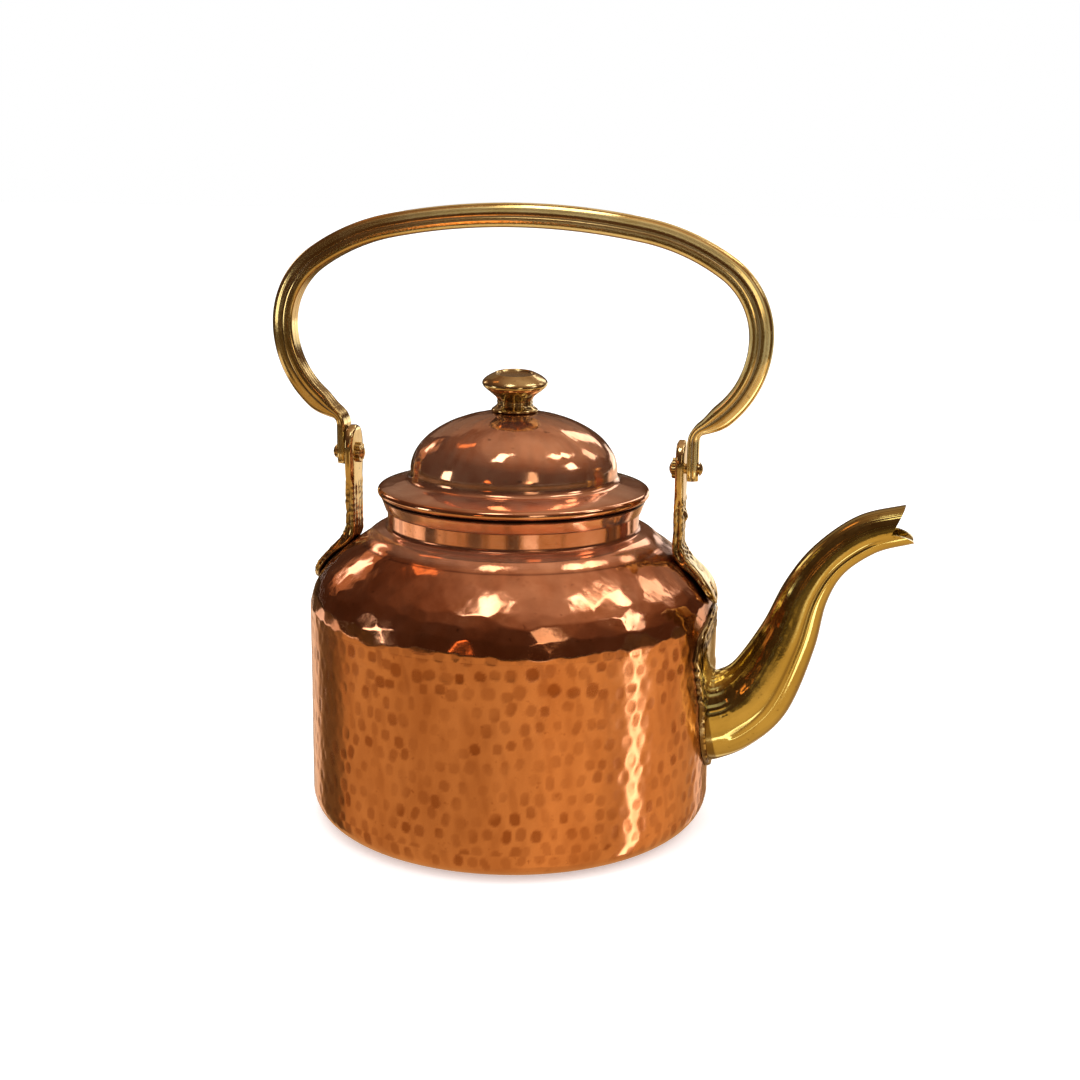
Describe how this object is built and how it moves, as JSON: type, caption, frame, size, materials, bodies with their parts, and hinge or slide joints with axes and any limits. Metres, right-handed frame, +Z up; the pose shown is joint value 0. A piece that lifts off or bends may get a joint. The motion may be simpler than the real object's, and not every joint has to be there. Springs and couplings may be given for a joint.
{
  "type": "copper kettle",
  "caption": "Round hammered copper kettle with a swan-neck brass spout, a lift-off domed lid with a knob, and a brass bail that swings on riveted ears.",
  "frame": {"origin": "centre of the flat base, on the surface that the kettle stands on", "axes": "+Z up along the body's axis, +X towards the spout, Y across the bail"},
  "size_m": [0.2369, 0.15, 0.2253],
  "materials": {
    "hammered_copper": "hammered copper sheet, polished",
    "polished_copper": "planished copper sheet, polished",
    "polished_brass": "polished brass",
    "cast_brass": "cast brass, polished with dark hollows",
    "steel": "plain wire"
  },
  "bodies": {
    "pot": {"body_cup": "hammered_copper", "shoulder": "hammered_copper", "neck_rim": "polished_copper", "spout": "polished_brass", "spout_plate": "cast_brass", "front_bracket": "cast_brass", "rear_bracket": "cast_brass", "front_bracket_rivets": "cast_brass", "rear_bracket_rivets": "cast_brass", "front_pivot_rivet": "cast_brass", "rear_pivot_rivet": "cast_brass", "front_pivot_rosette": "cast_brass", "rear_pivot_rosette": "cast_brass"},
    "lid": {"lid_shell": "polished_copper", "lid_rim_wire": "steel", "lid_skirt": "polished_copper", "knob": "cast_brass", "knob_stud": "cast_brass", "knob_washer": "cast_brass", "knob_nut": "cast_brass"},
    "bail": {"bail": "cast_brass"}
  },
  "joints": [
    {"name": "lid_lift", "type": "slide", "parent": "pot", "child": "lid", "axis": [0, 0, 1], "range_m": [0, 0.045]},
    {"name": "bail_swing", "type": "hinge", "parent": "pot", "child": "bail", "pos_m": [0, 0, 0.133], "axis": [1, 0, 0], "range_deg": [-118, 118]}
  ]
}
